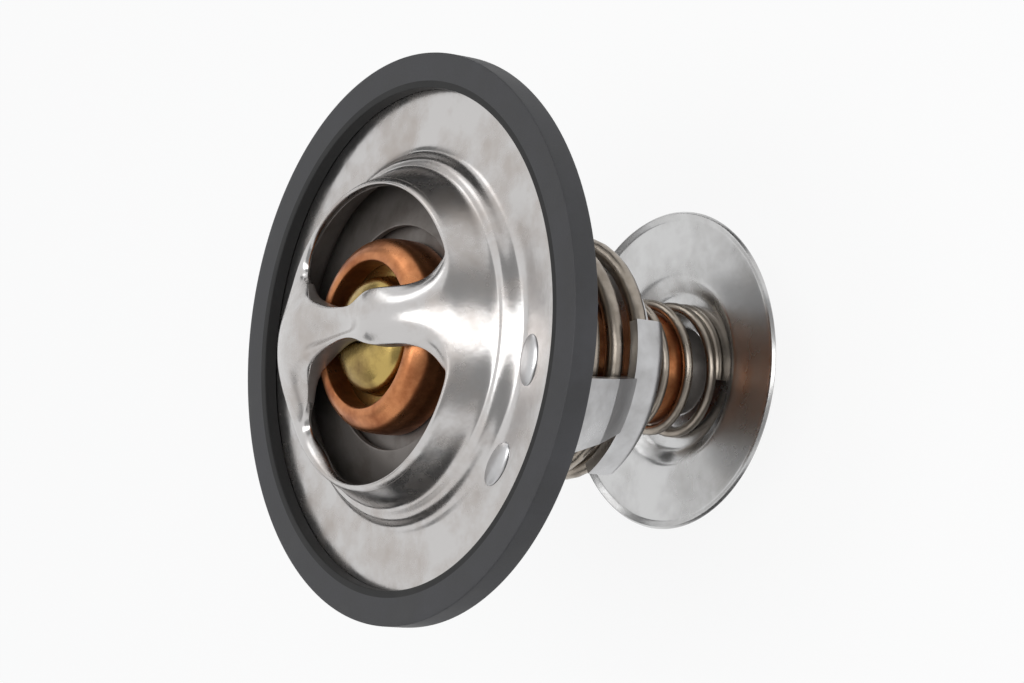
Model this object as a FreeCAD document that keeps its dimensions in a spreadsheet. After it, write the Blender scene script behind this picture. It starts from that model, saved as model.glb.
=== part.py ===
import FreeCAD, Part
import Sketcher
import math
import os

# Engine thermostat, standing on its bypass disc with the bridge upwards.
# Origin: centre of the disc's underside. +Z up, +X along the bridge. Millimetres.

document = FreeCAD.newDocument("Thermostat")

sizes = {
    # stamped flange with its raised bridge
    "sheet": 1.0,
    "step_foot_radius": 22.1,
    "step_radius": 21.2,
    "step_rise": 1.3,
    "ledge_radius": 20.3,
    "ledge_rise": 2.0,
    "shoulder_foot_radius": 19.7,
    "shoulder_foot_rise": 2.7,
    "shoulder_radius": 18.3,
    "shoulder_rise": 4.5,
    "wall_radius": 17.6,
    "wall_rise": 6.6,
    "crown_radius": 12.0,
    "crown_rise": 11.0,
    "crown_flat": 6.0,
    "bridge_rise": 11.9,
    "bend_foot": 1.7,
    "bend_ledge": 1.0,
    "bend_groove": 1.2,
    "bend_shoulder": 1.9,
    "bend_crown": 7.3,
    "bend_top": 22.0,
    # windows through the bridge
    "window_radius": 16.0,
    "window_corner_height": 8.7,
    "window_corner_bend": 3.1,
    "bridge_foot_length": 11.6,
    "bridge_foot_half": 3.7,
    "bridge_mid_length": 6.8,
    "bridge_mid_half": 3.3,
    "waist_length": 4.4,
    "waist_half": 2.3,
    "lip_depth": 3.0,
    # rubber seal round the flange
    "seal_radius": 33.5,
    "seal_width": 4.15,
    "seal_cover": 2.1,
    "seal_front_lip": 1.68,
    "seal_back_lip": 0.5,
    "seal_round": 0.25,
    "groove_clearance": 0.05,
    # seat ring pressed into the step of the flange
    "seat_hole_radius": 13.1,
    "seat_sheet": 0.8,
    "seat_drop": 1.05,
    "seat_skirt": 1.6,
    "press_clearance": 0.02,
    # copper wax capsule with its crimped collar
    "capsule_radius": 7.0,
    "capsule_wall": 0.8,
    "capsule_length": 35.28,
    "capsule_round": 2.5,
    "collar_radius": 11.4,
    "collar_mouth": 8.5,
    "collar_height": 6.0,
    "collar_crest": 2.3,
    "collar_curl": 0.6,
    "collar_floor": 0.87,
    "collar_bend": 0.8,
    # brass guide clamped in the collar
    "guide_flange_radius": 10.2,
    "guide_flange": 2.0,
    "guide_radius": 6.9,
    "guide_rise": 3.6,
    "guide_round": 1.9,
    "guide_spigot": 3.1,
    "guide_mouth": 1.2,
    "guide_dish": 0.4,
    # ring that backs the sleeve at the mouth of the guide
    "backup_radius": 4.2,
    "backup_height": 1.0,
    # rubber sleeve round the piston, wax round the sleeve
    "sleeve_radius": 4.0,
    "sleeve_flange": 1.0,
    "sleeve_depth": 22.1,
    "sleeve_end": 2.0,
    "fill_clearance": 0.05,
    # piston that stands under the bridge
    "piston_radius": 2.25,
    "piston_clearance": 0.05,
    "piston_tip_gap": 0.8,
    "piston_chamfer": 0.5,
    "nose_clearance": 0.05,
    # main valve plate and its spring
    "valve_radius": 15.6,
    "valve_sheet": 0.9,
    "valve_round": 0.3,
    "valve_recess": 0.71,
    "seat_gap": 0.05,
    "main_coil_radius": 13.7,
    "main_wire": 2.2,
    "main_length": 24.25,
    "main_turns": 6.25,
    # lower frame with two legs staked through the flange
    "frame_sheet": 1.4,
    "leg_angle": -31.4,
    "leg_span": 24.0,
    "leg_top_radius": 22.9,
    "leg_knee_drop": 4.6,
    "leg_low_radius": 18.2,
    "leg_low_height": 8.8,
    "cup_radius": 15.1,
    "cup_bend": 1.2,
    "cup_rim": 3.7,
    "cup_span": 73.0,
    "hub_radius": 12.6,
    "hub_clearance": 0.6,
    "foot_width": 17.6,
    "tab_angle": 15.3,
    "tab_width": 4.6,
    "tab_head_length": 5.8,
    "tab_head_width": 3.0,
    "tab_head_rise": 0.45,
    "slot_clearance": 0.1,
    # bypass disc on its stem, with its own spring
    "disc_sheet": 0.55,
    "disc_seat_radius": 9.7,
    "disc_floor_radius": 11.9,
    "disc_step": 1.7,
    "disc_bend": 1.14,
    "rim_foot_radius": 18.77,
    "rim_top_radius": 19.57,
    "rim_rise": 0.52,
    "hub_rise": 2.2,
    "hub_top_radius": 4.2,
    "hub_foot_radius": 5.4,
    "stem_radius": 1.6,
    "stem_clearance": 0.08,
    "stem_groove": 0.5,
    "stem_tip_height": 0.4,
    "clip_sheet": 0.7,
    "clip_radius": 3.0,
    "clip_span": 290.0,
    "clip_clearance": 0.05,
    "bypass_travel": 3.5,
    "bypass_end_gap": 0.7,
    "retainer_radius": 8.9,
    "retainer_sheet": 0.8,
    "retainer_gap": 0.1,
    "bypass_coil_radius": 7.75,
    "bypass_wire": 1.25,
    "bypass_turns": 4.25,
    "spring_gap": 0.02,
}

sheet = document.addObject("Spreadsheet::Sheet", "Sizes")
for row, (name, value) in enumerate(sizes.items(), start=1):
    sheet.set(f"A{row}", name)
    sheet.set(f"B{row}", str(value))
    sheet.setAlias(f"B{row}", name)
document.recompute()


class Measure:
    """A length with the spreadsheet formula that it comes from."""

    def __init__(self, value, formula):
        self.value = value
        self.formula = formula

    def __add__(self, other):
        other = measure(other)
        return Measure(self.value + other.value, f"({self.formula} + {other.formula})")

    def __sub__(self, other):
        other = measure(other)
        return Measure(self.value - other.value, f"({self.formula} - {other.formula})")

    def __mul__(self, other):
        other = measure(other)
        return Measure(self.value * other.value, f"({self.formula} * {other.formula})")

    def __truediv__(self, other):
        other = measure(other)
        return Measure(self.value / other.value, f"({self.formula} / {other.formula})")

    def __neg__(self):
        return Measure(-self.value, f"(0 - {self.formula})")

    def root(self):
        return Measure(math.sqrt(self.value), f"sqrt({self.formula})")


def measure(item):
    return item if isinstance(item, Measure) else Measure(float(item), str(item))


def size(name):
    return Measure(float(sheet.get(name)), f"Sizes.{name}")


zero = measure(0)

# Heights along the axis, from the plane that the disc rests on.
disc_top = size("disc_sheet")
hub_under = size("hub_rise")
hub_top = hub_under + size("disc_sheet")
capsule_end = hub_top + size("bypass_travel") + size("bypass_end_gap")
valve_top = capsule_end + size("capsule_length")
valve_under = valve_top - size("valve_sheet")
flange_top = valve_top - size("valve_recess")
flange_under = flange_top - size("sheet")
seal_front = flange_top + size("seal_front_lip")
seal_back = flange_under - size("seal_back_lip")
bridge_top = flange_top + size("bridge_rise")
bridge_under = bridge_top - size("sheet")
floor_top = valve_under - size("main_length")
floor_under = floor_top - size("frame_sheet")
collar_floor = valve_top + size("collar_floor")
collar_top = valve_top + size("collar_height")
guide_ledge = collar_floor + size("guide_flange")
guide_top = guide_ledge + size("guide_rise")
spigot_end = collar_floor - size("guide_spigot")
sleeve_floor = spigot_end - size("sleeve_depth")
retainer_top = floor_under - size("retainer_gap")
retainer_under = retainer_top - size("retainer_sheet")
stake_radius = size("leg_top_radius") + size("frame_sheet") / 2
flange_radius = size("seal_radius") - size("seal_cover")


def bind(thing, **measures):
    for prop, value in measures.items():
        thing.setExpression(prop, measure(value).formula)


def arc_between(start, end, bend):
    """Short arc from start to end, turning left when bend is positive."""
    dx, dy = end[0] - start[0], end[1] - start[1]
    chord = math.hypot(dx, dy)
    reach = math.sqrt(max(bend * bend - chord * chord / 4, 0.0))
    side = 1 if bend > 0 else -1
    centre = FreeCAD.Vector(
        (start[0] + end[0]) / 2 - side * dy / chord * reach,
        (start[1] + end[1]) / 2 + side * dx / chord * reach,
        0,
    )
    first, last = (start, end) if side > 0 else (end, start)
    angles = [math.atan2(p[1] - centre.y, p[0] - centre.x) for p in (first, last)]
    if angles[1] < angles[0]:
        angles[1] += 2 * math.pi
    circle = Part.Circle(centre, FreeCAD.Vector(0, 0, 1), abs(bend))
    return Part.ArcOfCircle(circle, angles[0], angles[1])


def draw_outline(sketch, corners, closed=True):
    """Draw lines, or arcs where a corner names a bend, and tie every corner to the sheet."""
    count = len(corners)
    spans = []
    for index in range(count if closed else count - 1):
        start, end = corners[index], corners[(index + 1) % count]
        p = (measure(start[0]).value, measure(start[1]).value)
        q = (measure(end[0]).value, measure(end[1]).value)
        if len(start) == 3:
            bend = measure(start[2])
            geo = sketch.addGeometry(arc_between(p, q, bend.value), False)
            mark = sketch.addConstraint(Sketcher.Constraint("Radius", geo, abs(bend.value)))
            sketch.setExpression(f"Constraints[{mark}]", f"abs({bend.formula})")
            spans.append((geo, 1, 2) if bend.value > 0 else (geo, 2, 1))
        else:
            ends = [FreeCAD.Vector(*p, 0), FreeCAD.Vector(*q, 0)]
            spans.append((sketch.addGeometry(Part.LineSegment(*ends), False), 1, 2))
    for index, (geo, first, last) in enumerate(spans):
        if index + 1 < len(spans) or closed:
            other, begin, _ = spans[(index + 1) % len(spans)]
            sketch.addConstraint(Sketcher.Constraint("Coincident", geo, last, other, begin))
    for index, corner in enumerate(corners):
        at_end = index == len(spans)
        geo, point = (spans[-1][0], spans[-1][2]) if at_end else spans[index][:2]
        for kind, axis, place in (("DistanceX", -2, corner[0]), ("DistanceY", -1, corner[1])):
            place = measure(place)
            if place.formula == "0":
                sketch.addConstraint(Sketcher.Constraint("PointOnObject", geo, point, axis))
                continue
            rule = Sketcher.Constraint(kind, -1, 1, geo, point, place.value)
            mark = sketch.addConstraint(rule)
            sketch.setExpression(f"Constraints[{mark}]", place.formula)


def origin_plane(body, role):
    return next(item for item in body.Origin.OriginFeatures if item.Role == role)


def turned_body(name, corners):
    """A body of revolution about Z from a closed outline of (radius, height) corners."""
    body = document.addObject("PartDesign::Body", name)
    body.Label = name
    sketch = body.newObject("Sketcher::SketchObject", name + "_profile")
    sketch.AttachmentSupport = [(origin_plane(body, "XZ_Plane"), "")]
    sketch.MapMode = "FlatFace"
    draw_outline(sketch, corners)
    turn = body.newObject("PartDesign::Revolution", name + "_turn")
    turn.Profile = sketch
    turn.ReferenceAxis = (sketch, ["V_Axis"])
    turn.Angle = 360.0
    sketch.Visibility = False
    body.Tip = turn
    return body


def upright_sketch(name, corners, closed=True):
    """A free sketch in the XZ plane, for a bent strip."""
    sketch = document.addObject("Sketcher::SketchObject", name)
    turn = FreeCAD.Rotation(FreeCAD.Vector(1, 0, 0), 90)
    sketch.Placement = FreeCAD.Placement(FreeCAD.Vector(0, 0, 0), turn)
    draw_outline(sketch, corners, closed)
    return sketch


def plan_sketch(name, outlines, height):
    sketch = document.addObject("Sketcher::SketchObject", name)
    for corners in outlines:
        draw_outline(sketch, corners)
    sketch.setExpression("Placement.Base.z", height.formula)
    return sketch


def offset_face(name, source, thickness):
    item = document.addObject("Part::Offset2D", name)
    item.Source = source
    item.Mode = "Skin"
    item.Join = "Arc"
    item.Fill = True
    bind(item, Value=thickness)
    return item


def turned_face(name, face, span=None):
    """Turn a section about Z, all the way round or over a span centred on +X."""
    item = document.addObject("Part::Revolution", name)
    item.Source = face
    item.Axis = FreeCAD.Vector(0, 0, 1)
    item.Base = FreeCAD.Vector(0, 0, 0)
    item.Angle = 360.0
    item.Solid = True
    if span is not None:
        bind(item, Angle=span)
        spun(item, -(span / 2))
    return item


def pulled_face(name, face, length, direction, both_ways=False):
    item = document.addObject("Part::Extrusion", name)
    item.Base = face
    item.DirMode = "Custom"
    item.Dir = FreeCAD.Vector(*direction)
    item.Solid = True
    item.Symmetric = both_ways
    bind(item, LengthFwd=length)
    return item


def cylinder(name, radius, height, base, span=None):
    item = document.addObject("Part::Cylinder", name)
    bind(item, Radius=radius, Height=height)
    item.setExpression("Placement.Base.z", measure(base).formula)
    if span is not None:
        bind(item, Angle=span)
        spun(item, -(measure(span) / 2))
    return item


def block(name, length, width, height, centre_x, centre_y, base):
    item = document.addObject("Part::Box", name)
    length, width = measure(length), measure(width)
    bind(item, Length=length, Width=width, Height=height)
    item.setExpression("Placement.Base.x", (measure(centre_x) - length / 2).formula)
    item.setExpression("Placement.Base.y", (measure(centre_y) - width / 2).formula)
    item.setExpression("Placement.Base.z", measure(base).formula)
    return item


def cut(name, base, tool):
    item = document.addObject("Part::Cut", name)
    item.Base = base
    item.Tool = tool
    return item


def common(name, base, tool):
    item = document.addObject("Part::Common", name)
    item.Base = base
    item.Tool = tool
    return item


def fuse(name, shapes):
    item = document.addObject("Part::MultiFuse", name)
    item.Shapes = shapes
    item.Refine = True
    return item


def spun(item, angle):
    """Turn an object about the axis by an angle from the sheet."""
    item.Placement.Rotation = FreeCAD.Rotation(FreeCAD.Vector(0, 0, 1), 1)
    item.setExpression("Placement.Rotation.Angle", measure(angle).formula)
    return item


def spun_copy(name, source, angle):
    item = document.addObject("Part::Compound", name)
    item.Links = [source]
    return spun(item, angle)


def dome_line(drop=zero):
    """Outer line of the bridge from its wall to the axis, as (radius, height, bend)."""
    return [
        (size("wall_radius"), flange_top + size("wall_rise") - drop, size("bend_crown")),
        (size("crown_radius"), flange_top + size("crown_rise") - drop, size("bend_top")),
        (size("crown_flat"), bridge_top - drop),
        (zero, bridge_top - drop),
    ]


def window_outline(side, wall=zero):
    """One window in plan, on +Y for side 1 and on -Y for side -1, grown by a wall."""
    reach = size("window_radius")
    lift = size("window_corner_height")
    grown = (reach + wall) / reach
    tip = ((reach * reach - lift * lift).root() * grown, lift * grown)
    bend = size("window_corner_bend") + wall
    foot = (size("bridge_foot_length"), size("bridge_foot_half") - wall)
    middle = (size("bridge_mid_length"), size("bridge_mid_half") - wall)
    waist = (size("waist_length"), size("waist_half") - wall)
    corners = [
        waist, middle, (*foot, bend), (*tip, reach + wall),
        (-tip[0], tip[1], bend), (-foot[0], foot[1]), (-middle[0], middle[1]), (-waist[0], waist[1]),
    ]
    if side > 0:
        return corners
    return [(x, -y, -bends[0]) if bends else (x, -y) for x, y, *bends in corners]


def make_flange_bridge():
    line = upright_sketch(
        "flange_line",
        [
            (flange_radius, flange_top),
            (size("step_foot_radius"), flange_top, -size("bend_foot")),
            (size("step_radius"), flange_top + size("step_rise"), size("bend_ledge")),
            (size("ledge_radius"), flange_top + size("ledge_rise"), -size("bend_groove")),
            (
                size("shoulder_foot_radius"),
                flange_top + size("shoulder_foot_rise"),
                size("bend_shoulder"),
            ),
            (size("shoulder_radius"), flange_top + size("shoulder_rise")),
            *dome_line(),
        ],
        closed=False,
    )
    shell = turned_face("stamping", offset_face("stamping_section", line, size("sheet")))
    height = bridge_top - flange_under + size("sheet")
    prisms = []
    for name, wall in (("window", zero), ("lip", size("sheet"))):
        outlines = [window_outline(1, wall), window_outline(-1, wall)]
        plan = plan_sketch(name + "_outlines", outlines, flange_under)
        prisms.append(pulled_face(name + "_prisms", plan, height, (0, 0, 1)))
    holes, collars = prisms
    wall, crown, flat, apex = dome_line(size("lip_depth"))
    back = [apex, (*flat[:2], -crown[2]), (*crown[:2], -wall[2]), wall[:2]]
    band = turned_face("lip_band", upright_sketch("lip_band_line", dome_line() + back))
    rims = common("lip_rims", band, cut("lip_rings", collars, holes))
    pierced = cut("pierced_stamping", shell, holes)
    whole = fuse("bridge_with_lips", [pierced, rims])
    width = size("tab_width") + size("slot_clearance")
    depth = size("frame_sheet") + size("slot_clearance")
    slots = []
    for number, half_turn in enumerate((0, 180)):
        for sign in (-1, 1):
            slot = block(
                f"slot_{number}_{sign + 1}", depth, width, size("sheet") * 3,
                stake_radius, 0, flange_under - size("sheet"),
            )
            angle = size("leg_angle") + half_turn + size("tab_angle") * sign
            slots.append(spun_copy(slot.Name + "_placed", slot, angle))
    return cut("flange_bridge", whole, fuse("slots", slots))


def make_rubber_seal():
    rounding = size("seal_round")
    outer = size("seal_radius")
    inner = outer - size("seal_width")
    groove = flange_radius + size("groove_clearance")
    return turned_body("rubber_seal", [
        (inner, seal_back),
        (outer - rounding, seal_back, rounding),
        (outer, seal_back + rounding),
        (outer, seal_front - rounding, rounding),
        (outer - rounding, seal_front),
        (inner, seal_front),
        (inner, flange_top),
        (groove, flange_top),
        (groove, flange_under),
        (inner, flange_under),
    ])


def make_seat_ring():
    hole, metal = size("seat_hole_radius"), size("seat_sheet")
    rim = size("step_radius") - size("sheet") - size("press_clearance")
    contact = valve_top + size("seat_gap")
    land = size("valve_radius")
    inside = rim - metal
    rim_under = contact - size("seat_drop")
    lip_under = contact + size("seat_drop") * (land - hole) / (inside - land)
    return turned_body("seat_ring", [
        (hole, lip_under),
        (inside, rim_under),
        (inside, rim_under - size("seat_skirt")),
        (rim, rim_under - size("seat_skirt")),
        (rim, rim_under + metal),
        (hole, lip_under + metal),
    ])


def make_wax_capsule():
    radius, wall, rounding = size("capsule_radius"), size("capsule_wall"), size("capsule_round")
    collar, bend = size("collar_radius"), size("collar_bend")
    crest, curl, mouth = size("collar_crest"), size("collar_curl"), size("collar_mouth")
    clamp = size("guide_flange_radius") + size("press_clearance")
    bore = radius - wall
    inside = rounding - wall
    return turned_body("wax_capsule", [
        (zero, capsule_end),
        (radius - rounding, capsule_end, rounding),
        (radius, capsule_end + rounding),
        (radius, valve_top),
        (collar - bend, valve_top, bend),
        (collar, valve_top + bend),
        (collar, collar_top - crest, crest),
        (collar - crest, collar_top, curl),
        (mouth, collar_top - curl),
        (mouth, guide_ledge),
        (clamp, guide_ledge),
        (clamp, collar_floor),
        (bore, collar_floor),
        (bore, capsule_end + rounding, -inside),
        (radius - rounding, capsule_end + wall),
        (zero, capsule_end + wall),
    ])


def make_guide():
    bore = size("piston_radius") + size("piston_clearance")
    radius, rounding = size("guide_radius"), size("guide_round")
    spigot = size("capsule_radius") - size("capsule_wall") - size("press_clearance")
    flange, recess = size("guide_flange_radius"), size("backup_radius")
    mouth, dish = size("guide_mouth"), size("guide_dish")
    shelf = spigot_end + size("backup_height")
    return turned_body("guide", [
        (recess, spigot_end),
        (spigot, spigot_end),
        (spigot, collar_floor),
        (flange, collar_floor),
        (flange, guide_ledge),
        (radius, guide_ledge),
        (radius, guide_top - rounding, rounding),
        (radius - rounding, guide_top),
        (bore + mouth, guide_top),
        (bore, guide_top - dish),
        (bore, shelf),
        (recess, shelf),
    ])


def make_backup_ring():
    bore = size("piston_radius") + size("piston_clearance")
    outer = size("backup_radius") - size("press_clearance")
    top = spigot_end + size("backup_height")
    return turned_body("backup_ring", [
        (bore, spigot_end), (outer, spigot_end), (outer, top), (bore, top),
    ])


def sleeve_outline(gap):
    """The sleeve's outside, grown by a gap: its flange, side and rounded end."""
    radius, end = size("sleeve_radius") + gap, size("sleeve_end") + gap
    low = sleeve_floor - size("sleeve_end") - gap
    ledge = spigot_end - size("sleeve_flange") - gap
    return radius, end, low, ledge


def make_rubber_sleeve():
    bore = size("piston_radius") + size("piston_clearance")
    flange = size("capsule_radius") - size("capsule_wall") - size("press_clearance")
    radius, end, low, ledge = sleeve_outline(zero)
    return turned_body("rubber_sleeve", [
        (zero, low),
        (radius - end, low, end),
        (radius, low + end),
        (radius, ledge),
        (flange, ledge),
        (flange, spigot_end),
        (bore, spigot_end),
        (bore, sleeve_floor),
        (zero, sleeve_floor),
    ])


def make_wax_charge():
    gap = size("fill_clearance")
    outer = size("capsule_radius") - size("capsule_wall") - gap
    rounding = size("capsule_round") - size("capsule_wall") - gap
    base = capsule_end + size("capsule_wall") + gap
    radius, end, low, ledge = sleeve_outline(gap)
    return turned_body("wax_charge", [
        (zero, base),
        (outer - rounding, base, rounding),
        (outer, base + rounding),
        (outer, ledge),
        (radius, ledge),
        (radius, low + end, -end),
        (radius - end, low),
        (zero, low),
    ])


def make_piston():
    """A rod whose slim nose stands between the lips of the bridge."""
    radius, edge = size("piston_radius"), size("piston_chamfer")
    tip = sleeve_floor + size("piston_tip_gap")
    nose = size("waist_half") - size("sheet") - size("nose_clearance")
    shoulder = bridge_top - size("lip_depth") - size("nose_clearance")
    return turned_body("piston", [
        (zero, tip),
        (radius - edge, tip),
        (radius, tip + edge),
        (radius, shoulder - edge),
        (radius - edge, shoulder),
        (nose, shoulder),
        (nose, bridge_under),
        (zero, bridge_under),
    ])


def make_main_valve():
    hole = size("capsule_radius") + size("press_clearance")
    radius, rounding = size("valve_radius"), size("valve_round")
    return turned_body("main_valve_plate", [
        (hole, valve_under),
        (radius - rounding, valve_under, rounding),
        (radius, valve_under + rounding),
        (radius, valve_top),
        (hole, valve_top),
    ])


def coil_spring(name, coil, wire, turns, low, high):
    """A compression spring between two heights, with one closed turn at each end."""
    body = document.addObject("PartDesign::Body", name)
    body.Label = name
    seat = size("spring_gap")
    base = low + seat + wire / 2
    height = high - seat - wire / 2 - base
    sketch = body.newObject("Sketcher::SketchObject", name + "_wire")
    sketch.AttachmentSupport = [(origin_plane(body, "XZ_Plane"), "")]
    sketch.MapMode = "FlatFace"
    centre = FreeCAD.Vector(coil.value, base.value, 0)
    sketch.addGeometry(Part.Circle(centre, FreeCAD.Vector(0, 0, 1), wire.value / 2), False)
    for kind, args, goal in (
        ("DistanceX", (-1, 1, 0, 3, coil.value), coil),
        ("DistanceY", (-1, 1, 0, 3, base.value), base),
        ("Radius", (0, wire.value / 2), wire / 2),
    ):
        mark = sketch.addConstraint(Sketcher.Constraint(kind, *args))
        sketch.setExpression(f"Constraints[{mark}]", goal.formula)
    coilup = body.newObject("PartDesign::AdditiveHelix", name + "_coil")
    coilup.Profile = sketch
    coilup.ReferenceAxis = (sketch, ["V_Axis"])
    coilup.Mode = 2
    coilup.Turns = turns.value
    coilup.Height = height.value
    bind(coilup, Turns=turns, Height=height)
    body.Tip = coilup
    return body


def make_lower_frame():
    metal, bend = size("frame_sheet"), size("cup_bend")
    cup_line = [
        (size("hub_radius") - metal, floor_top),
        (size("cup_radius") - bend, floor_top, bend),
        (size("cup_radius"), floor_top + bend),
        (size("cup_radius"), floor_top + size("cup_rim")),
    ]
    leg_line = cup_line + [
        (size("leg_low_radius"), floor_top + size("leg_low_height")),
        (size("leg_top_radius"), flange_under - size("leg_knee_drop")),
        (size("leg_top_radius"), flange_under),
    ]
    strips = []
    for name, line, span in (("cup", cup_line, "cup_span"), ("leg_strip", leg_line, "leg_span")):
        sketch = upright_sketch(name + "_line", line, closed=False)
        strips.append(turned_face(name, offset_face(name + "_section", sketch, -metal), size(span)))
    foot = block("leg_foot", metal, size("foot_width"), size("leg_knee_drop"),
                 stake_radius, 0, flange_under - size("leg_knee_drop"))
    tabs = []
    for sign in (-1, 1):
        tab = block(f"tab_{sign + 1}", metal, size("tab_width"),
                    size("sheet") + metal + size("tab_head_rise") / 5,
                    stake_radius, 0, flange_under - metal)
        head = document.addObject("Part::Ellipsoid", f"tab_head_{sign + 1}")
        bind(head, Radius1=size("tab_head_rise"), Radius2=size("tab_head_width") / 2,
             Radius3=size("tab_head_length") / 2)
        head.Angle1 = 0
        head.setExpression("Placement.Base.x", stake_radius.formula)
        head.setExpression("Placement.Base.z", (flange_top + size("press_clearance")).formula)
        pair = fuse(f"stake_{sign + 1}", [tab, head])
        tabs.append(spun_copy(f"stake_{sign + 1}_placed", pair, size("tab_angle") * sign))
    leg = fuse("leg", strips + [foot] + tabs)
    legs = [spun_copy(f"leg_{n}", leg, size("leg_angle") + n * 180) for n in (0, 1)]
    hub = cylinder("hub_plate", size("hub_radius"), metal, floor_under)
    bore = cylinder("hub_bore", size("capsule_radius") + size("hub_clearance"),
                    metal * 3, floor_under - metal)
    return cut("lower_frame", fuse("frame_blank", legs + [hub]), bore)


def make_bypass_disc():
    """Thin dished disc: a raised hub, a sunk spring seat, a flat floor and a turned-up rim."""
    hole = size("stem_radius") + size("stem_clearance")
    bend, floor = size("disc_bend"), disc_top + size("disc_step")
    seat_edge, floor_edge = size("disc_seat_radius"), size("disc_floor_radius")
    line = upright_sketch(
        "disc_line",
        [
            (hole, hub_top),
            (size("hub_top_radius"), hub_top),
            (size("hub_foot_radius"), disc_top),
            (seat_edge, disc_top, bend),
            ((seat_edge + floor_edge) / 2, (disc_top + floor) / 2, -bend),
            (floor_edge, floor),
            (size("rim_foot_radius"), floor),
            (size("rim_top_radius"), floor + size("rim_rise")),
        ],
        closed=False,
    )
    return turned_face("bypass_disc", offset_face("disc_section", line, -size("disc_sheet")))


def make_bypass_stem():
    radius, waist = size("stem_radius"), size("stem_radius") - size("stem_groove")
    slack = size("clip_clearance")
    groove_top = hub_under
    groove_low = hub_under - size("clip_sheet") - slack * 2
    return turned_body("bypass_stem", [
        (zero, size("stem_tip_height")),
        (waist, size("stem_tip_height")),
        (radius, size("stem_tip_height") + size("stem_groove")),
        (radius, groove_low),
        (waist, groove_low),
        (waist, groove_top),
        (radius, groove_top),
        (radius, capsule_end),
        (zero, capsule_end),
    ])


def make_stem_clip():
    slack = size("clip_clearance")
    base = hub_under - size("clip_sheet") - slack
    bore = size("stem_radius") - size("stem_groove") + slack
    ring = cylinder("clip_blank", size("clip_radius"), size("clip_sheet"), base, size("clip_span"))
    hole = cylinder("clip_bore", bore, size("clip_sheet") * 3, base - size("clip_sheet"))
    return cut("stem_clip", ring, hole)


def make_bypass_retainer():
    hole = size("capsule_radius") + size("press_clearance")
    outer = size("retainer_radius")
    return turned_body("bypass_retainer", [
        (hole, retainer_under), (outer, retainer_under), (outer, retainer_top), (hole, retainer_top),
    ])


pieces = [
    make_flange_bridge(),
    make_rubber_seal(),
    make_seat_ring(),
    make_lower_frame(),
    make_piston(),
    coil_spring("main_spring", size("main_coil_radius"), size("main_wire"),
                size("main_turns"), floor_top, valve_under),
    make_wax_capsule(),
    make_guide(),
    make_backup_ring(),
    make_rubber_sleeve(),
    make_wax_charge(),
    make_main_valve(),
    make_bypass_stem(),
    make_stem_clip(),
    make_bypass_retainer(),
    coil_spring("bypass_spring", size("bypass_coil_radius"), size("bypass_wire"),
                size("bypass_turns"), disc_top, retainer_under),
    make_bypass_disc(),
]
document.recompute()

faults = [item.Name for item in document.Objects
          if "Invalid" in item.State or "Error" in item.State]
for piece in pieces:
    if piece.Shape.isNull() or not piece.Shape.isValid() or not piece.Shape.Solids:
        faults.append(piece.Label)
if faults:
    raise SystemExit("these objects failed: " + ", ".join(faults))

os.makedirs("parts", exist_ok=True)
for piece in pieces:
    piece.Shape.exportStep(f"parts/{piece.Label}.step")
    solids = len(piece.Shape.Solids)
    print(f"{piece.Label}: {solids} solid, {piece.Shape.Volume:.1f} mm3, "
          f"{len(piece.Shape.Faces)} faces")
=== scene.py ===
import bmesh
import bpy
import math
from mathutils import Matrix, Vector


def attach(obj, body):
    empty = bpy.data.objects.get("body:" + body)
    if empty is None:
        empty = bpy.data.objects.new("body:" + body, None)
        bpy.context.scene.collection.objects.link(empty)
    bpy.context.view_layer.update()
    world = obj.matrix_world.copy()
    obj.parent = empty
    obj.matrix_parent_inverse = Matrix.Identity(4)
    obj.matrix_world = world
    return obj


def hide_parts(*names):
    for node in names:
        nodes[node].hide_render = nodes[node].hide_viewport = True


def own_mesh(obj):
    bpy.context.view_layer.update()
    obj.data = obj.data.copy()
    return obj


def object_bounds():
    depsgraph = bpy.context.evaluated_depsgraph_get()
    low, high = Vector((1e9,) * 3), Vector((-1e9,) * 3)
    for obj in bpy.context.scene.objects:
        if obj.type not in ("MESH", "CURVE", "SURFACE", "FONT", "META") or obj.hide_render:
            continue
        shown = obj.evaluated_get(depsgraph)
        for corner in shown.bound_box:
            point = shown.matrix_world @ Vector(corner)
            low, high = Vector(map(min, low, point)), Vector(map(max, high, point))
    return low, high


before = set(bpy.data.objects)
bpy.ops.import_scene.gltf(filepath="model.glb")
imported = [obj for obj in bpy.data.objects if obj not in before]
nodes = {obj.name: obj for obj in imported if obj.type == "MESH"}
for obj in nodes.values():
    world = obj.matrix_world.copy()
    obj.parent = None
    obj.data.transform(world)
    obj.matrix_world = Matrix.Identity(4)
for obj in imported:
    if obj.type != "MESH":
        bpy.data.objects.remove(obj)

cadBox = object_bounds()
mm = 0.001
seatFace = 43.2  # height of the seal's front face, where the bridge's own heights start
fullWhite = (1, 1, 1, 1)

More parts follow.
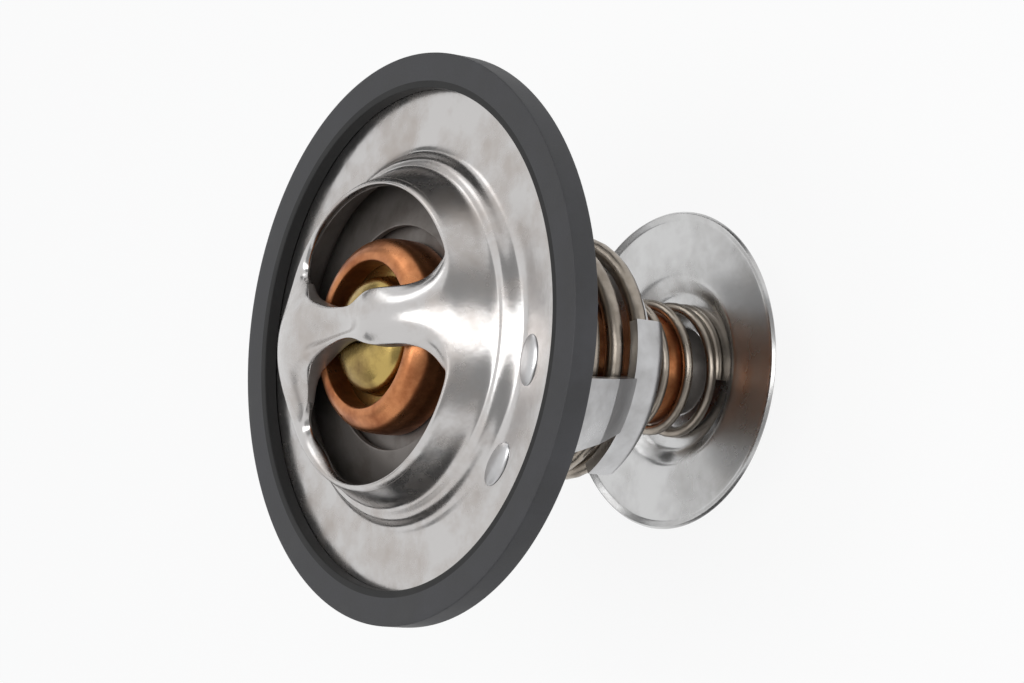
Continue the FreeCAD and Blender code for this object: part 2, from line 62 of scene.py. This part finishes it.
# the photo's camera, worked out from the circles of the seal, flange, hole and disc
camera = {
    "place": (275.04, -70.28, 233.85),  # mm
    "right": (0.5961, -0.0312, -0.8023),
    "up": (0.1815, 0.9786, 0.0967),
    "lens": 103.37,
    "sensor": 36.0,
    "clip": (0.01, 20),  # metres
}
studio = {
    "floorReach": 3.0,  # metres from the middle to the edge
    "floorDrop": 8.6,  # mm below the part, as the disc goes down 8 mm
    "floorColour": "#f4f4f4",
    "whiteShare": 0.88,  # the rest of the floor shows the object's shadow
    "skyColour": "#eef1f5",
    "skyStrength": 0.5,
    "softboxes": {
        # direction from the object, distance and (width, height) in mm, watts
        "tallSoftbox": ((0.62, -0.05, 0.78), 500, (240, 1000), 2.0),
        "fillSoftbox": ((-0.2, 0.75, 0.6), 700, (300, 200), 0.25),
    },
    "cards": {
        # direction from the object, distance and (width, height) in mm, brightness
        "cardAbove": ((-0.25, 0.92, -0.05), 260, (330, 150), 0.01),
        "cardBelow": ((-0.2, -0.95, 0.0), 260, (330, 130), 0.01),
        "cardLeftHigh": ((-0.62, 0.66, 0.42), 320, (130, 80), 0.15),
        "cardLeftLow": ((-0.66, -0.36, 0.66), 320, (120, 60), 0.2),
        "roomCard": ((0.78, -0.1, 0.62), 900, (1900, 1500), 0.36),
    },
}


# an sRGB hex value as linear red, green, blue and alpha
def linear(hexColour):
    parts = [int(hexColour[i:i + 2], 16) / 255 for i in (1, 3, 5)]
    return tuple(c / 12.92 if c <= 0.04045 else ((c + 0.055) / 1.055) ** 2.4 for c in parts) + (1.0,)


def addNode(tree, kind, values=None, links=None, **settings):
    node = tree.nodes.new(kind)
    for name, value in settings.items():
        setattr(node, name, value)
    for socket, value in (values or {}).items():
        node.inputs[socket].default_value = value
    for socket, source in (links or {}).items():
        tree.links.new(source, node.inputs[socket])
    return node


def placeCamera():
    right, up = Vector(camera["right"]).normalized(), Vector(camera["up"])
    up = (up - up.dot(right) * right).normalized()
    data = bpy.data.cameras.new("photoCamera")
    data.lens, data.sensor_width = camera["lens"], camera["sensor"]
    data.clip_start, data.clip_end = camera["clip"]
    photoCamera = bpy.data.objects.new("photoCamera", data)
    bpy.context.scene.collection.objects.link(photoCamera)
    turn = Matrix((right, up, right.cross(up))).transposed().to_4x4()
    photoCamera.matrix_world = Matrix.Translation(Vector(camera["place"]) * mm) @ turn
    bpy.context.scene.camera = photoCamera


def facingObject(direction, distance):
    middle = (cadBox[0] + cadBox[1]) / 2
    away = Vector(direction).normalized() * distance * mm
    return Matrix.Translation(middle + away) @ away.to_track_quat("Z", "Y").to_matrix().to_4x4()


def placeSoftboxes():
    for name, (direction, distance, spread, watts) in studio["softboxes"].items():
        data = bpy.data.lights.new(name, "AREA")
        data.shape = "RECTANGLE"
        data.size, data.size_y = spread[0] * mm, spread[1] * mm
        data.energy = watts
        lamp = bpy.data.objects.new(name, data)
        bpy.context.scene.collection.objects.link(lamp)
        lamp.matrix_world = facingObject(direction, distance)


# 1 for camera, glossy and transmission rays, which all see the white background
def seenRays(tree):
    path = addNode(tree, "ShaderNodeLightPath")
    glossy = addNode(tree, "ShaderNodeMath", operation="MAXIMUM",
                     links={0: path.outputs["Is Camera Ray"], 1: path.outputs["Is Glossy Ray"]})
    return addNode(tree, "ShaderNodeMath", operation="MAXIMUM",
                   links={0: glossy.outputs[0], 1: path.outputs["Is Transmission Ray"]}).outputs[0]


def lightWorld():
    world = bpy.data.worlds.new("paleStudio")
    bpy.context.scene.world = world
    world.use_nodes = True
    tree = world.node_tree
    tree.nodes.clear()
    white = addNode(tree, "ShaderNodeBackground", {"Color": fullWhite, "Strength": 1.0})
    sky = addNode(tree, "ShaderNodeBackground",
                  {"Color": linear(studio["skyColour"]), "Strength": studio["skyStrength"]})
    mixed = addNode(tree, "ShaderNodeMixShader",
                    links={0: seenRays(tree), 1: sky.outputs[0], 2: white.outputs[0]})
    addNode(tree, "ShaderNodeOutputWorld", links={0: mixed.outputs[0]})


def flatBoard(name, width, height):
    mesh = bpy.data.meshes.new(name)
    bm = bmesh.new()
    bmesh.ops.create_grid(bm, x_segments=1, y_segments=1, size=0.5)
    bmesh.ops.scale(bm, vec=(width, height, 1), verts=bm.verts)
    bm.to_mesh(mesh)
    bm.free()
    board = bpy.data.objects.new(name, mesh)
    bpy.context.scene.collection.objects.link(board)
    material = bpy.data.materials.new(name)
    material.use_nodes = True
    material.node_tree.nodes.clear()
    mesh.materials.append(material)
    return board, material.node_tree


def layFloor():
    width = 2 * studio["floorReach"]
    floor, tree = flatBoard("whiteSweep", width, width)
    matt = addNode(tree, "ShaderNodeBsdfDiffuse", {"Color": linear(studio["floorColour"])})
    white = addNode(tree, "ShaderNodeEmission", {"Color": fullWhite, "Strength": 1.0})
    share = addNode(tree, "ShaderNodeMath", {1: studio["whiteShare"]}, {0: seenRays(tree)},
                    operation="MULTIPLY")
    mixed = addNode(tree, "ShaderNodeMixShader",
                    links={0: share.outputs[0], 1: matt.outputs[0], 2: white.outputs[0]})
    # seen from below the floor is clear, so that the part can be looked at from there too
    clear = addNode(tree, "ShaderNodeBsdfTransparent")
    facing = addNode(tree, "ShaderNodeNewGeometry").outputs["Backfacing"]
    oneSided = addNode(tree, "ShaderNodeMixShader",
                       links={0: facing, 1: mixed.outputs[0], 2: clear.outputs[0]})
    addNode(tree, "ShaderNodeOutputMaterial", links={0: oneSided.outputs[0]})
    floor.location.z = -studio["floorDrop"] * mm


# dark and grey cards beside the set, as a photographer puts them: they only show as reflections
# in bright metal
def placeCards():
    for name, (direction, distance, spread, brightness) in studio["cards"].items():
        card, tree = flatBoard(name, spread[0] * mm, spread[1] * mm)
        grey = addNode(tree, "ShaderNodeEmission", {"Color": fullWhite, "Strength": brightness})
        addNode(tree, "ShaderNodeOutputMaterial", links={0: grey.outputs[0]})
        card.matrix_world = facingObject(direction, distance)
        card.visible_camera = card.visible_diffuse = card.visible_shadow = False


placeCamera()
placeSoftboxes()
lightWorld()
layFloor()
placeCards()
bpy.context.scene.view_settings.view_transform = "Standard"
print("stage: camera, softboxes and floor are in place")

finishes = {
    # colours; roughness from clean to stained; sizes of the patterns in mm. The grain is the orange peel of
    # sheet metal or the grain of a mould, and the rings come from turning or polishing. On the real part
    # both are finer: they are drawn this coarse so that they show
    "drawnStainless": {"colour": "#c4c2c1", "stain": "#b0a9a4", "roughness": (0.17, 0.32), "metal": 1.0,
                       "stainSize": 7.0, "grainSize": 1.1, "grain": 0.14, "ringSize": 0.5, "ring": 0.03},
    "paintedShadeStainless": {"colour": "#75706c", "stain": "#5f5a56", "roughness": (0.4, 0.5), "metal": 0.5,
                        "stainSize": 4.0, "grainSize": 0.4, "grain": 0.05},
    "satinSteel": {"colour": "#c4c4c5", "stain": "#a9a8a8", "roughness": (0.26, 0.38), "metal": 1.0,
                   "stainSize": 6.0, "grainSize": 0.4, "grain": 0.05},
    "turnedSteel": {"colour": "#cacaca", "stain": "#b8b7b6", "roughness": (0.2, 0.3), "metal": 1.0,
                    "stainSize": 8.0, "grainSize": 0.6, "grain": 0.05, "ringSize": 0.45, "ring": 0.05},
    "shadedSeatSteel": {"colour": "#75706c", "stain": "#5f5954", "roughness": (0.34, 0.46), "metal": 0.5,
                  "stainSize": 4.0, "grainSize": 0.4, "grain": 0.04, "ringSize": 0.5, "ring": 0.02},
    "groundSteel": {"colour": "#b4b3b2", "stain": "#9d9b99", "roughness": (0.14, 0.24), "metal": 1.0,
                    "stainSize": 3.0, "grainSize": 0.3, "grain": 0.02, "ringSize": 0.3, "ring": 0.04},
    "drawnCopper": {"colour": "#c08055", "stain": "#8a4e2d", "roughness": (0.26, 0.4), "metal": 0.95,
                    "stainSize": 3.4, "grainSize": 0.8, "grain": 0.1},
    "turnedBrass": {"colour": "#b89f5f", "stain": "#786039", "roughness": (0.2, 0.34), "metal": 1.0,
                    "stainSize": 4.5, "grainSize": 0.5, "grain": 0.08, "ringSize": 0.35, "ring": 0.04},
    "springWire": {"colour": "#a39a8f", "stain": "#8a8177", "roughness": (0.26, 0.38), "metal": 1.0,
                   "stainSize": 3.0, "grainSize": 0.25, "grain": 0.08},
    "mouldedRubber": {"colour": "#2d2d2f", "stain": "#3a3a3d", "roughness": (0.5, 0.62), "metal": 0.0,
                      "stainSize": 7.0, "grainSize": 0.22, "grain": 0.12},
    "shadedRubber": {"colour": "#070707", "stain": "#0c0c0d", "roughness": (0.6, 0.7), "metal": 0.0,
                     "stainSize": 7.0, "grainSize": 0.22, "grain": 0.05},
    "sleeveRubber": {"colour": "#232323", "stain": "#2d2c2b", "roughness": (0.5, 0.6), "metal": 0.0,
                     "stainSize": 3.0, "grainSize": 0.2, "grain": 0.1},
    "mouldedPlastic": {"colour": "#e2dfd6", "stain": "#d3cfc3", "roughness": (0.35, 0.45), "metal": 0.0,
                       "stainSize": 3.0, "grainSize": 0.3, "grain": 0.05},
    "copperWax": {"colour": "#b98a5e", "stain": "#a37348", "roughness": (0.5, 0.65), "metal": 0.0,
                  "stainSize": 1.5, "grainSize": 0.3, "grain": 0.2},
}
surface = {
    "stainDetail": 4.0,
    "stainSpread": 0.6,
    "colourRange": (0.42, 0.7),  # of the stains' noise, from clean to fully stained
    "glossRange": (0.35, 0.65),
    "bumpDetail": 2.0,
    "bumpHeight": 0.1,  # mm, of a pattern at full strength
}


# stains change both the colour and the gloss, as skin oil and heat do on bare metal
def stainSurface(tree, shader, place, look):
    stains = addNode(tree, "ShaderNodeTexNoise",
                     {"Scale": 1 / (look["stainSize"] * mm), "Detail": surface["stainDetail"],
                      "Roughness": surface["stainSpread"]},
                     {"Vector": place}).outputs[0]
    tint = addNode(tree, "ShaderNodeValToRGB", links={0: stains})
    steps = zip(tint.color_ramp.elements, surface["colourRange"], (look["colour"], look["stain"]))
    for element, spot, colour in steps:
        element.position, element.color = spot, linear(colour)
    cleanEnd, stainedEnd = surface["glossRange"]
    clean, stained = look["roughness"]
    rough = addNode(tree, "ShaderNodeMapRange",
                    {"From Min": cleanEnd, "From Max": stainedEnd, "To Min": clean, "To Max": stained},
                    {"Value": stains}).outputs[0]
    tree.links.new(tint.outputs[0], shader.inputs["Base Color"])
    tree.links.new(rough, shader.inputs["Roughness"])


def makeFinish(name):
    look = finishes[name]
    material = bpy.data.materials.new(name)
    material.use_nodes = True
    tree = material.node_tree
    tree.nodes.clear()
    shader = addNode(tree, "ShaderNodeBsdfPrincipled", {"Metallic": look["metal"]})
    addNode(tree, "ShaderNodeOutputMaterial", links={0: shader.outputs[0]})
    place = addNode(tree, "ShaderNodeTexCoord").outputs["Object"]
    stainSurface(tree, shader, place, look)
    detail, height = surface["bumpDetail"], surface["bumpHeight"] * mm
    grain = addNode(tree, "ShaderNodeTexNoise", {"Scale": 1 / (look["grainSize"] * mm), "Detail": detail},
                    {"Vector": place}).outputs[0]
    bumps = addNode(tree, "ShaderNodeBump", {"Strength": look["grain"], "Distance": height},
                    {"Height": grain})
    if "ring" in look:
        flat = addNode(tree, "ShaderNodeVectorMath", {1: (1, 1, 0)}, {0: place}, operation="MULTIPLY")
        radius = addNode(tree, "ShaderNodeVectorMath", links={0: flat.outputs[0]}, operation="LENGTH")
        rings = addNode(tree, "ShaderNodeTexNoise",
                        {"Scale": 1 / (look["ringSize"] * mm), "Detail": detail},
                        {"W": radius.outputs["Value"]}, noise_dimensions="1D").outputs[0]
        bumps = addNode(tree, "ShaderNodeBump", {"Strength": look["ring"], "Distance": height},
                        {"Height": rings, "Normal": bumps.outputs[0]})
    tree.links.new(bumps.outputs[0], shader.inputs["Normal"])
    return material


# deep drawn stainless sheet: satin light grey with an orange peel that breaks up the highlights
drawnStainless = makeFinish("drawnStainless")
# the same sheet's inside, with painted shade: dark brown grey and dull behind the windows
paintedShadeStainless = makeFinish("paintedShadeStainless")
# blanked and bent stainless strip: flatter satin with darker patches
satinSteel = makeFinish("satinSteel")
# turned and polished stainless: near mirror with fine rings
turnedSteel = makeFinish("turnedSteel")
# seat ring inside the dome: brown grey and dull, darkened as painted shade
shadedSeatSteel = makeFinish("shadedSeatSteel")
# ground steel rod: bright and even
groundSteel = makeFinish("groundSteel")
# drawn copper cup: orange brown with dark oxide patches
drawnCopper = makeFinish("drawnCopper")
# turned brass: olive yellow with turning rings
turnedBrass = makeFinish("turnedBrass")
# hard drawn spring wire: matt grey beige
springWire = makeFinish("springWire")
# moulded rubber: dark grey with a soft, wide sheen
mouldedRubber = makeFinish("mouldedRubber")
# the seal's inner wall, with painted shade: almost black round the flange
shadedRubber = makeFinish("shadedRubber")
# the sleeve's rubber: near black, finer and duller than the seal
sleeveRubber = makeFinish("sleeveRubber")
# moulded backup ring: warm white with a low gloss
mouldedPlastic = makeFinish("mouldedPlastic")
# wax mixed with copper powder: matt tan with coarse grain
copperWax = makeFinish("copperWax")

# the CAD nodes that stay: every other node is replaced below
nodeFinishes = {
    "lower_frame": satinSteel, "backup_ring": mouldedPlastic, "rubber_sleeve": sleeveRubber,
    "wax_charge": copperWax, "main_valve_plate": shadedSeatSteel, "bypass_stem": groundSteel,
    "stem_clip": groundSteel, "bypass_retainer": satinSteel,
}
for name, material in nodeFinishes.items():
    for holder in nodes[name].material_slots:
        holder.material = material
print("stage: materials are on the frame's nodes")


# makes a bmesh in millimetres a piece in metres; a face's material index counts the materials given
def newPiece(name, bm, *materials):
    bmesh.ops.scale(bm, vec=(mm, mm, mm), verts=bm.verts)
    mesh = bpy.data.meshes.new(name)
    bm.to_mesh(mesh)
    bm.free()
    for face in mesh.polygons:
        face.use_smooth = True
    for material in materials:
        mesh.materials.append(material)
    piece = bpy.data.objects.new(name, mesh)
    bpy.context.scene.collection.objects.link(piece)
    return piece


def subdivide(piece):
    smooth = piece.modifiers.new("smooth", "SUBSURF")
    smooth.levels = smooth.render_levels = 2


# turns a line of points once round the part's axis
def spinLine(bm, points, closed, steps):
    line = [bm.verts.new(point) for point in points]
    edges = [bm.edges.new(pair) for pair in zip(line, line[1:])]
    if closed:
        edges.append(bm.edges.new((line[-1], line[0])))
    bmesh.ops.spin(bm, geom=line + edges, cent=(0, 0, 0), axis=(0, 0, 1), dvec=(0, 0, 0),
                   angle=2 * math.pi, steps=steps, use_merge=True)


def turnVerts(bm, degrees, axis, verts):
    bmesh.ops.rotate(bm, cent=(0, 0, 0), matrix=Matrix.Rotation(math.radians(degrees), 3, axis),
                     verts=verts)


bridge = {
    "sectors": 48,
    "footSectors": 3,  # on each side of the bridge's line
    "turn": -2.0,  # degrees, the bridge's line is a little off the frame's legs
    "sheet": 1.0,
    "merge": 0.01,
    # (radius, height) from the edge of the flange to the top of the crest
    "profile": [
        (31.4, -1.68), (27.0, -1.68), (24.0, -1.68), (22.7, -1.66), (21.9, -1.35), (21.45, -0.55),
        (21.2, -0.05), (20.7, 0.28), (20.2, 0.35), (19.85, 0.7), (19.5, 1.6), (18.95, 2.7),
        (18.4, 3.75), (18.05, 4.45), (17.65, 4.75),
    ],
    "footLift": (0.6, 0.52, 0.3, 0.0),  # of the crest, sector by sector from the bridge's line
    # along, half width above and below in the photo's view, top, fall to the fold, dip between the
    # folds, end of the side, pull back
    "stations": [
        (-16.4, 7.0, 7.0, 6.4, 1.6, 0.0, 3.6, 0.8), (-15.1, 8.6, 8.0, 7.3, 2.4, 0.2, 3.7, 2.4),
        (-13.5, 7.7, 6.5, 8.35, 3.1, 0.6, 4.1, 2.0), (-11.5, 6.6, 4.6, 9.2, 3.3, 1.4, 4.4, 0.9),
        (-9.5, 5.6, 3.4, 9.8, 3.2, 2.0, 4.5, 0.1), (-7.8, 4.9, 2.6, 10.0, 2.6, 2.4, 4.6, 0.0),
        (-6.2, 4.3, 2.1, 10.0, 2.1, 2.6, 4.8, 0.0), (-4.6, 3.8, 1.7, 9.75, 1.5, 2.4, 5.1, 0.0),
        (-2.4, 3.1, 1.3, 9.25, 0.8, 1.7, 5.6, 0.0), (0.0, 2.7, 0.95, 8.9, 0.4, 1.0, 6.1, 0.0),
        (2.4, 2.35, 1.1, 9.15, 0.35, 0.9, 6.1, 0.0), (4.6, 2.8, 1.7, 9.65, 0.45, 0.5, 6.0, 0.0),
        (6.2, 3.5, 2.4, 9.85, 0.6, 0.1, 6.0, 0.0), (7.8, 3.7, 2.8, 9.8, 0.9, 0.0, 5.9, 0.0),
        (9.5, 3.6, 2.9, 9.5, 1.3, 0.0, 5.8, 0.0), (11.5, 3.55, 3.0, 8.95, 1.8, 0.0, 5.5, 0.0),
        (13.5, 3.9, 3.6, 8.15, 2.2, 0.0, 4.9, 0.15), (15.1, 4.9, 4.7, 7.15, 2.1, 0.0, 4.2, 0.45),
        (16.4, 6.1, 6.0, 6.35, 1.7, 0.0, 3.8, 0.8),
    ],
    "crown": 2.3,  # how flat the bridge stays before it falls to the folds
    "windowMiddle": 9.0,  # on each side of the bridge's line
    "windowReach": 20.0,  # radius within which an open edge is a window's
    "rimLip": (0.4, 0.95),  # reach and depth of the turned edge round the windows
    # the same beside the feet, where the edge is wider: degrees from the bridge's line, and spread
    "farUpperCorner": (1.6, 1.2, 34.0, 9.0),
    "farLowerCorner": (2.1, 1.9, 42.0, 17.0),
    "nearUpperCorner": (0.9, 2.0, 28.0, 10.0),
    "nearLowerCorner": (1.1, 2.4, 30.0, 14.0),
    "sideReach": 0.22,
    "footReach": 0.25,  # added per mm beyond footStart
    "footStart": 13.5,
    # shares of the reach and depth, and the finish on the arm's side: 1 gives it the inside's painted shade
    "lipSteps": ((0.35, 0.1, 0), (0.3, 0.3, 1), (0.35, 0.6, 1)),
    # evens out the pinched corners beside the far foot
    "smoothings": 2,
    "smoothing": 0.5,
    "smoothedBeyond": -11.5,
}


# the flange, its step and the drum's wall; gives the crest's vertices, sector by sector
def turnFlange(bm):
    sectors = bridge["sectors"]
    step = 2 * math.pi / sectors
    spinLine(bm, [(r, 0, seatFace + z) for r, z in bridge["profile"]], False, sectors)
    crestRadius = bridge["profile"][-1][0]
    crest = {}
    for vert in bm.verts:
        if abs(vert.co.xy.length - crestRadius) < bridge["merge"]:
            crest[round(math.atan2(vert.co.y, vert.co.x) / step) % sectors] = vert
            off = round(math.atan2(abs(vert.co.y), abs(vert.co.x)) / step)
            if off <= bridge["footSectors"]:
                vert.co.z += bridge["footLift"][off]
    return crest


# the bridge's top, from crest to crest; gives the reach and drop of its sides by the fold's places
def layTop(bm, crest):
    sectors, half, stations = bridge["sectors"], bridge["footSectors"], bridge["stations"]
    last = len(stations) + 1
    sides = {}
    for vert in bmesh.ops.create_grid(bm, x_segments=last, y_segments=2 * half, size=1)["verts"]:
        along, across = round((vert.co.x + 1) / 2 * last), vert.co.y
        onFold = round(abs(across) * half) == half
        if along in (0, last):
            side = round(across * half)
            vert.co = crest[(side if along else sectors // 2 - side) % sectors].co
            continue
        if along == 1 and onFold:
            # the far foot is one sector wider on each side
            vert.co = crest[(sectors // 2 - round(across * (half + 1))) % sectors].co
            continue
        x, above, below, height, fall, dip, end, pull = stations[along - 1]
        back, width = pull * across ** 2, above if across > 0 else below
        top = height - fall * abs(across) ** bridge["crown"] - dip * (1 - across ** 2) ** 2
        vert.co = (x - math.copysign(back, x), across * width, seatFace + top)
        if onFold:
            reach = bridge["sideReach"] + max(0, abs(x) - bridge["footStart"]) * bridge["footReach"]
            sides[vert.co.to_tuple(2)] = (reach, top - end)
    return sides


# reach and depth of the turned edge at a spot on a window's rim
def lipAt(spot):
    name = ("near" if spot.x > 0 else "far") + ("Upper" if spot.y > 0 else "Lower") + "Corner"
    *cornerLip, middle, spread = bridge[name]
    angle = math.degrees(math.atan2(abs(spot.y), abs(spot.x)))
    near = math.exp(-((angle - middle) / spread) ** 2)
    return [a + (b - a) * near for a, b in zip(bridge["rimLip"], cornerLip)]


# level direction from a rim's vertex towards the middle of its window
def inwards(vert, rims):
    ends = [e.other_vert(vert).co for e in vert.link_edges if e in rims]
    tangent = ends[0] - ends[1]
    side = Vector((tangent.y, -tangent.x, 0)).normalized()
    middle = Vector((0, math.copysign(bridge["windowMiddle"], vert.co.y), vert.co.z))
    return -side if side.dot(middle - vert.co) < 0 else side


# rolls the windows' rims in and down, and the arm's sides with them
def rollRims(bm, sides):
    rims = [e for e in bm.edges
            if e.is_boundary and min(v.co.xy.length for v in e.verts) < bridge["windowReach"]]
    lips = {}
    for vert in {v for e in rims for v in e.verts}:
        lips[vert] = sides.get(vert.co.to_tuple(2)) or lipAt(vert.co)
    for reachShare, depthShare, sideShade in bridge["lipSteps"]:
        made = bmesh.ops.extrude_edge_only(bm, edges=rims)["geom"]
        fresh = [g for g in made if isinstance(g, bmesh.types.BMVert)]
        rims = [g for g in made if isinstance(g, bmesh.types.BMEdge) and g.is_boundary]
        moves = {}
        for vert in fresh:
            above = next(e.other_vert(vert) for e in vert.link_edges if e not in rims)
            reach, depth = lips[vert] = lips[above]
            moves[vert] = inwards(vert, rims) * reach * reachShare - Vector((0, 0, depth * depthShare))
        for vert, move in moves.items():
            vert.co += move
        pinched = [v for v in fresh if v.co.x < bridge["smoothedBeyond"]]
        for _ in range(bridge["smoothings"]):
            bmesh.ops.smooth_vert(bm, verts=pinched, factor=bridge["smoothing"],
                                  use_axis_x=True, use_axis_y=True, use_axis_z=True)
        for face in (g for g in made if isinstance(g, bmesh.types.BMFace)):
            if all(lips[v][0] == bridge["sideReach"] for v in face.verts):
                face.material_index = sideShade


def makeBridge():
    bm = bmesh.new()
    sides = layTop(bm, turnFlange(bm))
    bmesh.ops.remove_doubles(bm, verts=bm.verts, dist=bridge["merge"])
    bmesh.ops.recalc_face_normals(bm, faces=bm.faces)
    rollRims(bm, sides)
    bmesh.ops.recalc_face_normals(bm, faces=bm.faces)
    turnVerts(bm, bridge["turn"], "Z", bm.verts)
    piece = newPiece("flangeBridge", bm, drawnStainless, paintedShadeStainless)
    wall = piece.modifiers.new("sheet", "SOLIDIFY")
    wall.thickness, wall.offset = bridge["sheet"] * mm, -1
    # the sheet's inside takes the second material, a painted shade
    wall.material_offset = 1
    subdivide(piece)
    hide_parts("flange_bridge")
    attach(piece, "housing")


makeBridge()
print("stage: bridge made")

winding = {"wireSides": 14, "stepsPerTurn": 40, "endRounding": 0.15, "merge": 0.001}
springs = {
    "mainSpring": {
        "node": "main_spring", "body": "housing", "joint": "main_valve_slide",
        "coilRadius": 13.7, "wire": 2.2, "start": 18.18, "startAngle": -176.6,
        # (turns, rise) of each run: closed turns at both ends
        "runs": [(0.7, 0.25), (0.5, 2.65), (4.6, 16.25), (0.5, 2.65), (0.7, 0.25)],
        "foot": 17.08, "keep": 0.67,
    },
    "bypassSpring": {
        "node": "bypass_spring", "body": "element", "joint": "bypass_slide",
        "coilRadius": 7.75, "wire": 1.25, "start": 1.175, "startAngle": -18.0,
        "runs": [(0.8, 0.1), (0.4, 1.5), (2.65, 9.78), (0.4, 1.5), (0.8, 0.1)],
        "foot": 14.78, "keep": 0.754,
    },
}


def makeSpring(name):
    spring = springs[name]
    bm = bmesh.new()
    ring = bmesh.ops.create_circle(bm, segments=winding["wireSides"], radius=spring["wire"] / 2)["verts"]
    turnVerts(bm, 90, "X", ring)
    bmesh.ops.translate(bm, vec=(spring["coilRadius"], 0, spring["start"]), verts=ring)
    last = list(bm.verts) + list(bm.edges)
    for turns, rise in spring["runs"]:
        steps = round(turns * winding["stepsPerTurn"])
        last = bmesh.ops.spin(bm, geom=last, cent=(0, 0, 0), axis=(0, 0, 1), dvec=(0, 0, rise / steps),
                              angle=turns * 2 * math.pi, steps=steps)["geom_last"]
    bmesh.ops.remove_doubles(bm, verts=bm.verts, dist=winding["merge"])
    bmesh.ops.holes_fill(bm, edges=[e for e in bm.edges if e.is_boundary], sides=winding["wireSides"])
    bmesh.ops.recalc_face_normals(bm, faces=bm.faces)
    ends = [e for e in bm.edges if any(len(f.verts) > 4 for f in e.link_faces)]
    bmesh.ops.bevel(bm, geom=ends, offset=winding["endRounding"], segments=2, profile=0.5,
                    affect="EDGES", material=-1)
    turnVerts(bm, spring["startAngle"], "Z", bm.verts)
    piece = newPiece(name, bm, springWire)
    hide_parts(spring["node"])
    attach(piece, spring["body"])
    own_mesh(piece)


for name in springs:
    makeSpring(name)
print("stage: springs wound")

turning = {"steps": 72, "merge": 0.001, "middleMargin": 0.2, "cornerPull": 0.12}
turnedPieces = {
    # outline of each section as (radius, height, how far its corner is softened); within the radius of
    # "middle" the second finish
    "rubberSeal": {
        "node": "rubber_seal", "body": "housing", "slot": "seal_rubber",
        # the seal's inner wall, within "middle", takes the painted shade
        "finish": [mouldedRubber, shadedRubber], "middle": 29.5,
        "outline": [
            (29.35, 40.02, 0.2), (33.5, 40.02, 0.22), (33.5, 43.2, 0.22), (29.35, 43.2, 0.25),
            (29.35, 41.52, 0.15), (31.5, 41.52, 0.15), (31.5, 40.52, 0.15), (29.35, 40.52, 0.15),
        ],
    },
    "seatRing": {
        "node": "seat_ring", "body": "housing", "slot": "stainless", "finish": [shadedSeatSteel],
        "outline": [
            (13.1, 42.97, 0.15), (19.38, 41.23, 0.4), (19.38, 39.63, 0.15), (20.95, 39.63, 0.15),
            (20.95, 41.85, 0.3), (13.1, 43.77, 0.2),
        ],
    },
    "piston": {
        "node": "piston", "body": "housing", "slot": "piston_steel", "finish": [groundSteel],
        "outline": [
            (0.0, 18.7, 0), (2.25, 18.7, 0.4), (2.25, 46.8, 0.3), (0.55, 49.2, 0.2), (0.0, 49.4, 0),
        ],
    },
    "guide": {
        "node": "guide", "body": "element", "slot": "brass", "finish": [turnedBrass],
        "outline": [
            (4.0, 40.0, 0.1), (6.15, 40.0, 0.1), (6.15, 43.1, 0.1), (10.2, 43.1, 0.15), (10.2, 45.1, 0.15),
            (6.9, 45.1, 0.2), (6.9, 47.2, 1.3), (4.6, 48.6, 1.4), (1.1, 48.7, 0.15), (1.1, 48.1, 0.15),
            (2.35, 47.4, 0.1), (2.35, 41.2, 0.1), (4.0, 41.2, 0.1),
        ],
    },
    "bypassDisc": {
        "node": "bypass_disc", "body": "bypass", "slot": "disc_steel",
        "finish": [turnedSteel, paintedShadeStainless], "middle": 5.5,  # the hub is darker, as painted shade
        "outline": [
            (1.7, 2.75, 0.12), (4.2, 2.75, 0.4), (5.4, 0.55, 0.4), (9.7, 0.55, 0.7), (11.9, 2.25, 0.8),
            (18.77, 2.25, 0.25), (19.57, 2.76, 0.1), (19.86, 2.31, 0.1), (18.95, 1.7, 0.25),
            (12.15, 1.7, 0.8), (9.95, 0.0, 0.7), (5.05, 0.0, 0.4), (3.85, 2.2, 0.4), (1.7, 2.2, 0.12),
        ],
    },
    "waxCapsule": {
        "node": "wax_capsule", "body": "element", "slot": "copper", "finish": [drawnCopper],
        "outline": [
            (0.0, 6.95, 0), (5.6, 6.95, 0.3), (5.75, 4.25, 0.3), (7.0, 4.25, 0.45), (7.0, 42.23, 0.4),
            (11.4, 42.23, 0.8), (11.4, 46.9, 1.5), (9.4, 48.23, 0.8),
            (8.5, 48.0, 0.3), (8.5, 45.1, 0.15), (10.25, 45.1, 0.15), (10.25, 43.1, 0.15),
            (6.2, 43.1, 0.15), (6.2, 7.75, 0.8), (0.0, 7.75, 0),
        ],
    },
}


# each corner becomes three points, which Subdivision Surface rounds to about its softening
def softCorners(outline):
    line = []
    for index, (radius, height, soft) in enumerate(outline):
        spot = Vector((radius, 0, height))
        if not soft:
            line.append(spot)
            continue
        for r, h, _ in (outline[index - 1], outline[(index + 1) % len(outline)]):
            line.append(spot + (Vector((r, 0, h)) - spot).normalized() * soft)
        line.insert(-1, spot + (line[-1] + line[-2] - 2 * spot) * turning["cornerPull"])
    return line


def turnPiece(name):
    look = turnedPieces[name]
    bm = bmesh.new()
    # a section that starts on the axis ends on it, and any other is a ring's
    ring = look["outline"][0][0] > 0
    spinLine(bm, softCorners(look["outline"]), ring, turning["steps"])
    bmesh.ops.remove_doubles(bm, verts=bm.verts, dist=turning["merge"])
    bmesh.ops.recalc_face_normals(bm, faces=bm.faces)
    # faces within the radius of "middle" take the second finish, which is painted shade
    middle = look.get("middle", 0)
    for face in bm.faces:
        radii = [v.co.xy.length for v in face.verts]
        face.material_index = int(min(radii) < middle and max(radii) < middle + turning["middleMargin"])
    piece = newPiece(name, bm, *look["finish"])
    subdivide(piece)
    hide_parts(look["node"])
    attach(piece, look["body"])


for name in turnedPieces:
    turnPiece(name)
print("stage: round pieces turned")
